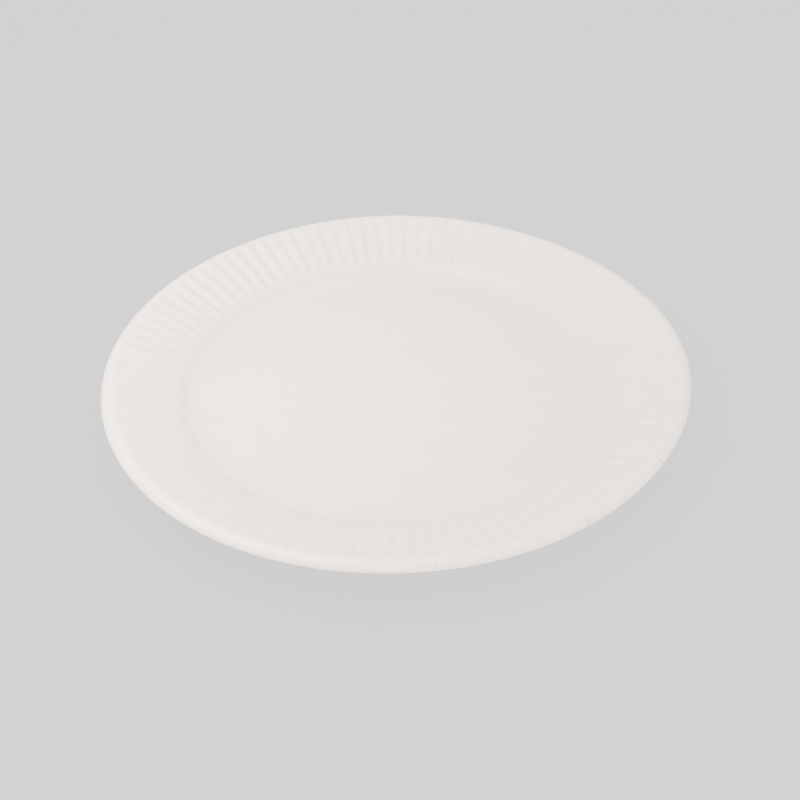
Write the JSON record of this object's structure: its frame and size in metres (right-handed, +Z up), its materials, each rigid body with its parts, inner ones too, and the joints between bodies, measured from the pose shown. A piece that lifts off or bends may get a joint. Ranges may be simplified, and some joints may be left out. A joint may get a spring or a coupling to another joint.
{
  "type": "paper plate",
  "caption": "Round white paper plate with a flat floor, a low curved wall and a radially fluted rim that ends in a smooth turned-down edge.",
  "frame": {"origin": "centre of the underside of the flat floor, where the plate stands", "axes": "+Z up along the plate's axis, out of the open side"},
  "size_m": [0.2298, 0.2298, 0.015],
  "materials": {
    "white_board": "matte"
  },
  "bodies": {
    "root": {"paper_plate": "white_board"}
  },
  "joints": []
}
